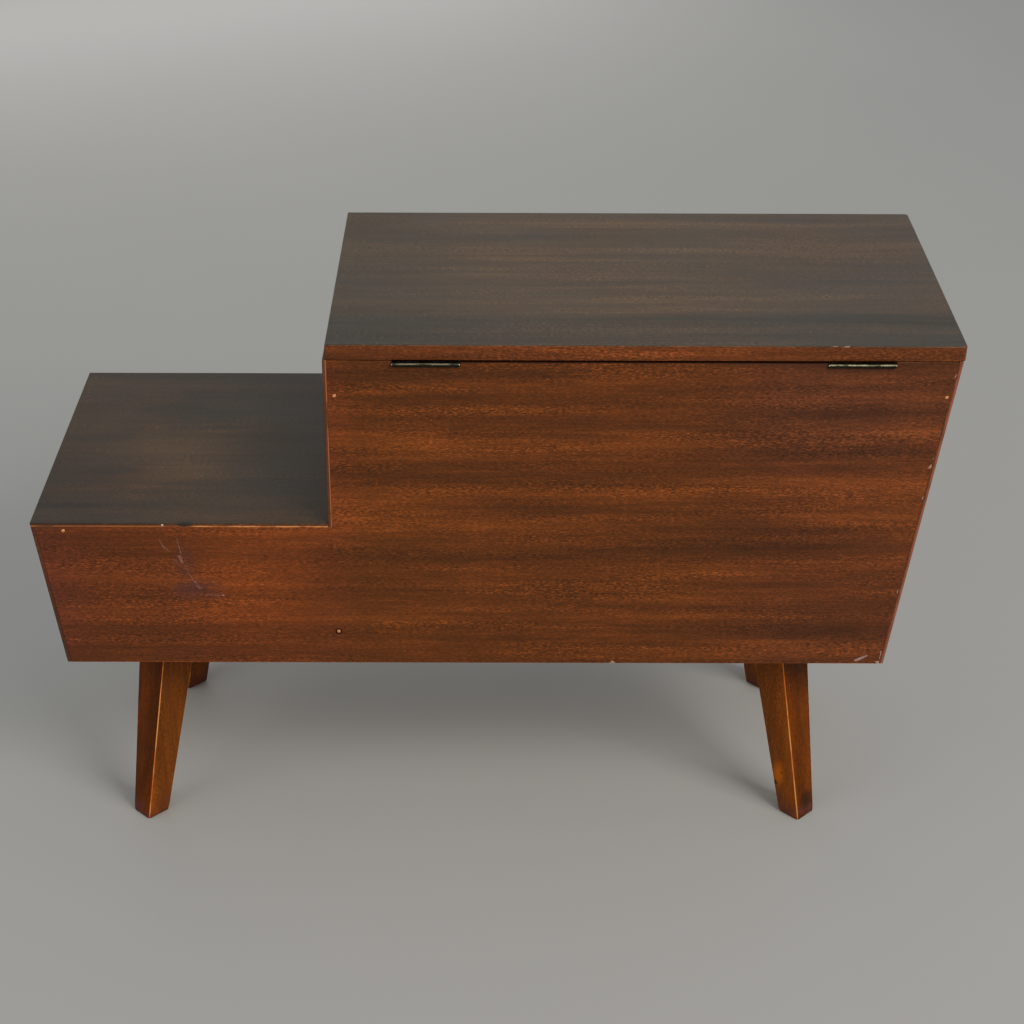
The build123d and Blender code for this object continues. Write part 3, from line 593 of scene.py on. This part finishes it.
# ---------------------------------------------------------------- finish for every CAD node
FINISH = {
    wood_case: ["tall_end_panel", "low_end_panel", "divider_panel"],
    wood_shelf: ["low_top_board"],
    wood_across: ["bottom_board", "front_panel"],
    wood_drawer: ["drawer_front"],
    wood_knob: ["drawer_knob"],
    bare_x: ["rear_rail", "tray_ledge_front", "tray_ledge_back", "drawer_stop", "drawer_back",
             "tray_front", "tray_back", "tray_bottom", "tray_long_partition", "drawer_bottom"],
    bare_y: ["tray_left_end", "tray_right_end", "tray_short_partition_1",
             "tray_short_partition_2", "tray_short_partition_3", "drawer_guide",
             "drawer_left_side", "drawer_right_side"],
    bronze: ["hinge_left_body_leaf", "hinge_left_lid_leaf", "hinge_right_body_leaf",
             "hinge_right_lid_leaf", "hinge_body_screws", "hinge_lid_screws"],
    pin_steel: ["hinge_left_pin", "hinge_right_pin"],
    brass: ["stay_arm", "stay_lid_bracket", "stay_rivet", "stay_guide_stud",
            "stay_bracket_screws"],
    steel: ["back_panel_punched_nails", "leg_screws", "drawer_knob_screw"],
}
for material, names in FINISH.items():
    for name in names:
        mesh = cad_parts[name].data
        mesh.materials.clear()
        mesh.materials.append(material)


# ---------------------------------------------------------------- boards with worn arrises
CORNER_STEPS = 4            # parts of a rounded corner of an outline
ARC_STEPS = 4               # parts of an eased arris
SHARP = 0.03                # least radius of a corner
LID_LEAN = 0.4              # how far the lid's free end leans in over its thickness
UNDERSIDE = 2.0             # height over which the lid's lowest faces have the edge's wood
LIP = 3.0                   # width of the board edges round the back panel
GAP_SAG = 0.6               # the back's top edge is this much lower between the hinges
GAP_FILL = 0.4              # and this much higher outside them
NOTCH_ROOM = 0.5            # room round a hinge leaf in the back's notch
SHADE_DEPTH = 1.6           # how far down the painted shade under the lid reaches on the back, between the hinges
SHADE_FADE = 0.8            # over what height it fades in
FACE_INSET = 2.5            # from an eased arris to where its wear has ended on the flat face
RUB_INSET = 0.8             # from an eased arris to where its wear is faint


def side_directions(corners, i):
    """Unit directions of the sides that enter and leave corner i."""
    here = corners[i]
    after = corners[(i + 1) % len(corners)]
    return (here - corners[i - 1]).normalized(), (after - here).normalized()


def inset_corners(corners, inset):
    """A polygon's corners after every side has moved inwards by inset."""
    moved = []
    for i, here in enumerate(corners):
        into, out = side_directions(corners, i)
        normal_in, normal_out = Vector((into.y, -into.x)), Vector((out.y, -out.x))
        mitre = (normal_in + normal_out) / (1.0 + normal_in.dot(normal_out))
        moved.append(here - mitre * inset)
    return moved


def outline_points(corners, radii, inset, pieces):
    """(position, outward normal) round an inset polygon, its corners rounded.

    corners run anticlockwise; pieces says into how many parts each side is divided.
    """
    corners = inset_corners(corners, inset)
    arcs = []
    for i, here in enumerate(corners):
        into, out = side_directions(corners, i)
        turn = into.x * out.y - into.y * out.x
        side = 1.0 if turn > 0 else -1.0
        radius = max(SHARP, radii[i] - side * inset)
        back = radius * math.tan(math.acos(max(-1.0, min(1.0, into.dot(out)))) / 2)
        normal_in, normal_out = Vector((into.y, -into.x)), Vector((out.y, -out.x))
        centre = here - into * back - normal_in * radius * side
        arc = []
        for k in range(CORNER_STEPS + 1):
            normal = normal_in.lerp(normal_out, k / CORNER_STEPS).normalized()
            arc.append((centre + normal * radius * side, normal))
        arcs.append(arc)
    points = []
    for i, arc in enumerate(arcs):
        points += arc
        start, end = arc[-1], arcs[(i + 1) % len(arcs)][0]
        points += [(start[0].lerp(end[0], k / pieces[i]), start[1]) for k in range(1, pieces[i])]
    return points


def mesh_volume(mesh):
    """Six times the signed volume of a closed mesh."""
    total = 0.0
    for face in mesh.polygons:
        corners = [mesh.vertices[i].co for i in face.vertices]
        for second, third in zip(corners[1:], corners[2:]):
            total += corners[0].dot(second.cross(third))
    return total


def mesh_object(name, points, faces, materials, masks, flat=(), edge_faces=()):
    """A mesh object with point masks. flat faces aren't smoothed; edge_faces use material 1."""
    mesh = bpy.data.meshes.new(name)
    mesh.from_pydata(points, [], faces)
    for key, values in masks.items():
        layer = mesh.attributes.new(key, "FLOAT", "POINT")
        layer.data.foreach_set("value", values)
    for material in materials:
        mesh.materials.append(material)
    for face in mesh.polygons:
        face.use_smooth = face.index not in flat
        face.material_index = 1 if face.index in edge_faces else 0
    if mesh_volume(mesh) < 0:
        mesh.flip_normals()
    made = bpy.data.objects.new(name, mesh)
    bpy.context.scene.collection.objects.link(made)
    return made


def ring_faces(rings, total, first=0):
    """Quads between rings of total points, and then a face over each end."""
    faces = []
    for r in range(rings - 1):
        low, high = first + r * total, first + (r + 1) * total
        for i in range(total):
            j = (i + 1) % total
            faces.append((low + i, low + j, high + j, high + i))
    last = first + (rings - 1) * total
    faces.append(tuple(reversed(range(first, first + total))))
    faces.append(tuple(range(last, last + total)))
    return faces


def edge_profile(depth, ease, far_ease, side_rings):
    """(inset, depth, how much it is an arris) of each ring of points round a board."""
    profile = [(ease + FACE_INSET, 0.0, 0.0), (ease + RUB_INSET, 0.0, 0.25)]
    for k in range(ARC_STEPS + 1):
        angle = math.pi / 2 * k / ARC_STEPS
        profile.append((ease * (1 - math.sin(angle)), ease * (1 - math.cos(angle)),
                        math.sin(2 * angle) * 0.7 + 0.3))
    for k in range(1, side_rings):
        profile.append((0.0, ease + (depth - ease - far_ease) * k / side_rings, 0.0))
    for k in range(ARC_STEPS + 1):
        angle = math.pi / 2 * (1 - k / ARC_STEPS)
        profile.append((far_ease * (1 - math.sin(angle)), depth - far_ease * (1 - math.cos(angle)),
                        math.sin(2 * angle) * 0.7 + 0.3))
    return profile + [(far_ease + RUB_INSET, depth, 0.25), (far_ease + FACE_INSET, depth, 0.0)]


def board(name, near, far, radii, depth, place, ease, materials, chips, wear, step, seed,
          side_rings=3, far_ease=None, painted_shade=None):
    """A board whose outline runs from near at depth 0 to far at depth, with its arrises eased.

    near and far are corner lists in the board's plane, in millimetres; place(u, v, w) turns a
    point of the board into (x, y, z). chips are (x, y, z, reach, bite). step is the distance
    between points. The function passed last gives how much painted shade each point gets.
    """
    near, far = [Vector(c) for c in near], [Vector(c) for c in far]
    pieces = [max(1, round((far[(i + 1) % len(far)] - far[i]).length / step))
              for i in range(len(far))]
    far_ease = ease if far_ease is None else far_ease
    profile = edge_profile(depth, ease, far_ease, side_rings)
    points, worn, chipped, darkened = [], [], [], []
    total = 0
    for inset, w, arris in profile:
        corners = [a.lerp(b, w / depth) for a, b in zip(near, far)]
        ring = outline_points(corners, radii, inset, pieces)
        total = len(ring)
        for flat, normal in ring:
            here = Vector(place(flat.x, flat.y, w))
            rough = noise.noise(here * 0.045 + Vector((seed, 0, 0)))
            fine = noise.noise(here * 0.35 + Vector((0, seed, 0)))
            ragged = noise.noise(here * 1.1 + Vector((seed, seed, 0)))
            # painted shade under the lid on the back's top edge; it also holds back the arris wear
            # there
            dirt_and_shade = painted_shade(here) if painted_shade else 0.0
            amount = max(0.0, 0.5 + 0.9 * rough + 0.35 * fine) * wear * arris * (1.0 - dirt_and_shade)
            bite = 0.10 * amount * (ease if w < depth / 2 else far_ease)
            hit = 0.0
            for *centre, reach, chip_depth in chips:
                closeness = 1 - ((here - Vector(centre)).length / reach) ** 2
                if closeness > 0:
                    hit = max(hit, closeness + 0.9 * ragged)
                    bite = max(bite, hit * chip_depth)
            bite *= min(1.0, arris + 0.2) if inset < FACE_INSET else 0.0
            flat = flat - normal * bite * 0.7
            lift = bite * 0.7 * (1 if w < depth / 2 else -1)
            points.append(Vector(place(flat.x, flat.y, w + (lift if arris else 0.0))) * MM)
            worn.append(min(1.0, amount))
            chipped.append(max(0.0, min(1.0, hit * 1.4)) if arris > 0.2 else 0.0)
            darkened.append(dirt_and_shade)
    rings = len(profile)
    faces = ring_faces(rings, total)
    side_faces = ()
    if len(materials) > 1:
        side_faces = range((ARC_STEPS + 1) * total, (rings - 2 - ARC_STEPS) * total)
    masks = {"worn": worn, "chipped": chipped, "darkened": darkened}
    caps = (len(faces) - 2, len(faces) - 1)
    return mesh_object(name, points, faces, materials, masks, caps, side_faces)


def limits(node):
    """((x0, x1), (y0, y1), (z0, z1)) of a CAD node, in millimetres."""
    low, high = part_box(node)
    return [(low[i] / MM, high[i] / MM) for i in range(3)]


def dress_lid():
    """The lid: grain along it, eased arrises, rounded outer corners, small knocks at the back."""
    (x0, x1), (y0, y1), (z0, z1) = limits("lid")
    thick = z1 - z0
    near = [(x0 + LID_LEAN, y0), (x1, y0), (x1, y1), (x0 + LID_LEAN, y1)]
    far = [(x0, y0), (x1, y0), (x1, y1), (x0, y1)]
    chips = [(-166, y1, z1, 1.3, 0.5), (-174, y1, z1, 0.9, 0.4), (-181, y1, z1, 1.1, 0.5),
             (-257, y1, z1, 0.9, 0.4), (-265, y1, z1, 1.2, 0.5)]
    made = board("lid_board", near, far, [3.2, 1.0, 1.0, 3.2], thick,
                 lambda u, v, w: (u, v, z0 + w), 0.9, [wood_top, wood_edge], chips, wear=0.5,
                 step=3.0, seed=3)
    underside = (z0 + UNDERSIDE) * MM
    for face in made.data.polygons:
        if face.center.z < underside:
            face.material_index = 1
    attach(made, "lid")
    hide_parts("lid")


def dress_back():
    """The stepped plywood back, notched for the hinges, with its knocks and its worn arrises."""
    (x0, x1), (y0, y1), (z0, z1) = limits("back_panel")
    step_x = limits("divider_panel")[0][1] - LIP
    shelf = limits("low_top_board")[2][1] - LIP
    sag, full = z1 - GAP_SAG, z1 + GAP_FILL
    notches = []
    for side in ("right", "left"):
        (leaf_x0, leaf_x1), _, (leaf_z0, _) = limits(f"hinge_{side}_body_leaf")
        notches.append((leaf_x0 - NOTCH_ROOM, leaf_x1 + NOTCH_ROOM, leaf_z0 - NOTCH_ROOM))
    (gap_end, right_end, notch_z), (left_end, gap_start, _) = notches
    outline = [(x0 + LEAN * (z1 - z0), z0), (x1 - LEAN * (shelf - z0), z0), (x1, shelf),
               (step_x, shelf), (step_x, full),
               (right_end, full), (right_end, notch_z), (gap_end, notch_z), (gap_end, sag),
               (gap_start, sag), (gap_start, notch_z), (left_end, notch_z), (left_end, full),
               (x0, full)]
    radii = [1.2, 1.2, 0.4, 0.4, 0.5] + [0.4] * 8 + [1.0]

    def painted_shade(place):
        """Painted shade along the top edge, under the lid in the gap between the hinges."""
        depth = max(0.0, min(1.0, (place.z - z1 + SHADE_DEPTH) / SHADE_FADE))
        return depth if gap_start < place.x < gap_end else 0.0

    chips = [(x0 + LEAN * (z1 - z), y1, z, reach, bite) for z, reach, bite in (
        (424, 1.3, 0.4), (366, 1.2, 0.4), (356, 1.0, 0.4), (348, 1.9, 0.6), (322, 1.2, 0.4),
        (238, 1.6, 0.4), (181, 2.2, 0.8), (177, 1.4, 0.6), (z0 + 1, 1.8, 0.6))]
    chips += [(-98, y1, z0, 2.0, 0.5), (-95, y1, z0, 1.5, 0.4)]
    made = board("back_veneered", outline, outline, radii, y1 - y0,
                 lambda u, v, w: (u, y0 + w, v), 0.5, [wood_back], chips, wear=0.75, step=2.5,
                 seed=5, side_rings=2, far_ease=0.45, painted_shade=painted_shade)
    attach(made, "cabinet")
    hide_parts("back_panel")


# ---------------------------------------------------------------- nails
NAIL_SIDES = 20
# (radius, distance out from the back) from the end of the shank to the middle of the head
NAIL_PROFILE = [(0.8, -6.0), (0.8, -0.9), (1.35, -0.7), (1.4, -0.05), (1.3, 0.14), (0.9, 0.30),
                (0.4, 0.36)]


def clusters(places, reach):
    """The mean of each group of points that lie within reach of each other."""
    groups = []
    for place in places:
        for group in groups:
            if (group[0] - place).length < reach:
                group.append(place)
                break
        else:
            groups.append([place])
    return [sum(group, Vector((0, 0, 0))) / len(group) for group in groups]


def dress_nails():
    """Slightly domed nail heads in the back, each on a short shank."""
    face = limits("back_panel_nails")[1][1]
    tips = [v.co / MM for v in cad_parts["back_panel_nails"].data.vertices]
    points, faces = [], []
    for centre in clusters([v for v in tips if v.y > face - 0.01], 4.0):
        faces += ring_faces(len(NAIL_PROFILE), NAIL_SIDES, len(points))
        for radius, out in NAIL_PROFILE:
            for k in range(NAIL_SIDES):
                angle = 2 * math.pi * k / NAIL_SIDES
                uneven = 1 + 0.05 * math.sin(2 * angle + centre.x) if radius > 1 else 1.0
                points.append(Vector((centre.x + radius * uneven * math.cos(angle), face + out,
                                      centre.z + radius * uneven * math.sin(angle))) * MM)
    made = mesh_object("nail_heads", points, faces, [nail_metal], {})
    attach(made, "cabinet")
    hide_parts("back_panel_nails")


# ---------------------------------------------------------------- legs
SOLE_CHAMFER = 1.4          # how high the rounding at the foot reaches
SOLE_RINGS = 5
LEG_ARRIS = 1.1             # radius of a leg's ridges
LEG_RINGS = 90
RIDGE_STEPS = 4             # parts of half a ridge's arc
KNOCK_HEIGHT = 6.0          # how high the knocked ends of the ridges reach
DIRT_HEIGHT = 3.0           # how high the dirt round every foot reaches
SMUDGE_HEIGHT = 26.0        # how high the dirt on the outer ridge of one leg reaches
SMUDGE_RIDGE = 2            # which ridge that is
SMUDGE_SPREAD = 1.2         # how far round the leg it fades out, in ridges


def middle(group):
    """The middle of some points' box, in plan."""
    return Vector(((min(v.x for v in group) + max(v.x for v in group)) / 2,
                   (min(v.y for v in group) + max(v.y for v in group)) / 2))


def half_width(group):
    """Half of some points' extent along X."""
    return (max(v.x for v in group) - min(v.x for v in group)) / 2


def leg_heights(top_z):
    """The height of each ring of a leg's points: close together round the sole, then even."""
    sole = [SOLE_CHAMFER * (1 - math.cos(math.pi / 2 * k / SOLE_RINGS))
            for k in range(SOLE_RINGS + 1)]
    shaft = [SOLE_CHAMFER + (top_z - SOLE_CHAMFER) * k / LEG_RINGS for k in range(1, LEG_RINGS)]
    return sole + shaft + [top_z]


def dress_leg(node, seed, wear, knocked, smudged):
    """A tapered square leg with rubbed ridges and a dark foot, which may be knocked or smudged."""
    vertices = [v.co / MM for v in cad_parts[node].data.vertices]
    top_z = max(v.z for v in vertices)
    foot = [v for v in vertices if v.z < 0.01]
    head = [v for v in vertices if v.z > top_z - 0.01]
    low, high = middle(foot), middle(head)
    sole, crown = half_width(foot), half_width(head)
    ankle = sole + SOLE_CHAMFER * math.sqrt(2)
    heights = leg_heights(top_z)
    points, worn, darkened = [], [], []
    for z in heights:
        centre = low.lerp(high, z / top_z)
        if z < SOLE_CHAMFER:
            half = sole + (ankle - sole) * math.sqrt(1 - (1 - z / SOLE_CHAMFER) ** 2)
        else:
            half = ankle + (crown - ankle) * (z - SOLE_CHAMFER) / (top_z - SOLE_CHAMFER)
        ridge_at = half - (math.sqrt(2) - 1) * LEG_ARRIS
        for corner in range(4):
            turn = math.pi / 2 * corner
            outwards = Vector((math.cos(turn), math.sin(turn), 0))
            for k in range(-RIDGE_STEPS, RIDGE_STEPS + 1):
                angle = turn + math.pi / 4 * k / RIDGE_STEPS
                here = (Vector((centre.x, centre.y, z)) + outwards * (ridge_at - LEG_ARRIS)
                        + Vector((math.cos(angle), math.sin(angle), 0)) * LEG_ARRIS)
                ridge = max(0.0, 1 - abs(k) / (RIDGE_STEPS * 0.9))
                rough = noise.noise(here * 0.03 + Vector((seed * 7.0, 0, 0)))
                fine = noise.noise(here * 0.25 + Vector((0, seed * 3.0, 0)))
                rub = max(0.0, min(1.0, 0.95 + 0.9 * rough + 0.45 * fine)) * ridge
                bite = 0.15 * rub
                if knocked:
                    knock = max(0.0, 1 - z / KNOCK_HEIGHT) ** 2 * (1.6 + 2.0 * abs(fine))
                    bite += knock * (1 - abs(k) / (RIDGE_STEPS + 1))
                points.append((here - outwards * bite) * MM)
                worn.append(rub * wear)
                dirt_and_shade = max(0.0, 1 - z / DIRT_HEIGHT) * (0.4 + 0.8 * fine)
                if smudged:
                    side = max(0.0, 1 - abs(corner - SMUDGE_RIDGE) / SMUDGE_SPREAD)
                    smudge = max(0.0, 1 - z / SMUDGE_HEIGHT) * (0.9 + 1.5 * fine) * side
                    dirt_and_shade = max(dirt_and_shade, smudge)
                darkened.append(max(0.0, min(1.0, dirt_and_shade)))
    faces = ring_faces(len(heights), len(points) // len(heights))
    made = mesh_object(node.replace("leg_", "tapered_leg_"), points, faces, [wood_leg],
                       {"worn": worn, "darkened": darkened}, (len(faces) - 2, len(faces) - 1))
    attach(made, "cabinet")
    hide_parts(node)


dress_lid()
dress_back()
dress_nails()
dress_leg("leg_rear_left", 1, 1.0, knocked=True, smudged=True)
dress_leg("leg_rear_right", 2, 1.0, knocked=True, smudged=False)
dress_leg("leg_front_left", 3, 0.6, knocked=False, smudged=False)
dress_leg("leg_front_right", 4, 0.6, knocked=False, smudged=False)

# ---------------------------------------------------------------- floor, light
FLOOR_SIZE = 30.0
TABLE_MIDDLE = (0, 0, 0.25)


def floor():
    """A plain pale floor with a very faint mottle."""
    made, tree, bsdf = surface("pale_floor")
    mottle = blend_colour(tree, even_noise(tree, 3.0, 3.0), (0.50, 0.49, 0.465),
                          (0.53, 0.52, 0.495))
    tree.links.new(mottle, bsdf.inputs["Base Color"])
    bsdf.inputs["Roughness"].default_value = 0.7
    half = FLOOR_SIZE / 2
    mesh = bpy.data.meshes.new("floor")
    mesh.from_pydata([(-half, -half, 0), (half, -half, 0), (half, half, 0), (-half, half, 0)],
                     [], [(0, 1, 2, 3)])
    mesh.materials.append(made)
    plane = bpy.data.objects.new("floor", mesh)
    bpy.context.scene.collection.objects.link(plane)


def softbox(name, place, size, power, colour, in_gloss=True):
    """A large soft light aimed at the table; in_gloss says if polished surfaces mirror it."""
    lamp = bpy.data.lights.new(name, "AREA")
    lamp.shape = "RECTANGLE"
    lamp.size, lamp.size_y = size
    lamp.energy = power
    lamp.color = colour
    made = bpy.data.objects.new(name, lamp)
    bpy.context.scene.collection.objects.link(made)
    made.visible_glossy = in_gloss
    aim = (Vector(TABLE_MIDDLE) - Vector(place)).to_track_quat("-Z", "Y")
    made.matrix_world = Matrix.Translation(place) @ aim.to_matrix().to_4x4()


def sky():
    """An even, slightly blue studio surround."""
    world = bpy.data.worlds.new("studio")
    bpy.context.scene.world = world
    world.use_nodes = True
    back = world.node_tree.nodes["Background"]
    back.inputs["Color"].default_value = (0.46, 0.495, 0.50, 1)
    back.inputs["Strength"].default_value = 0.8


floor()
sky()
softbox("key", (-1.9, 2.0, 2.2), (1.6, 1.2), 60.0, (1.0, 0.94, 0.86))
softbox("front", (0.9, -2.6, 0.5), (2.2, 0.6), 14.0, (1.0, 0.95, 0.9), in_gloss=False)
softbox("fill", (1.9, 1.6, 1.5), (1.6, 1.6), 11.0, (1.0, 0.95, 0.9))
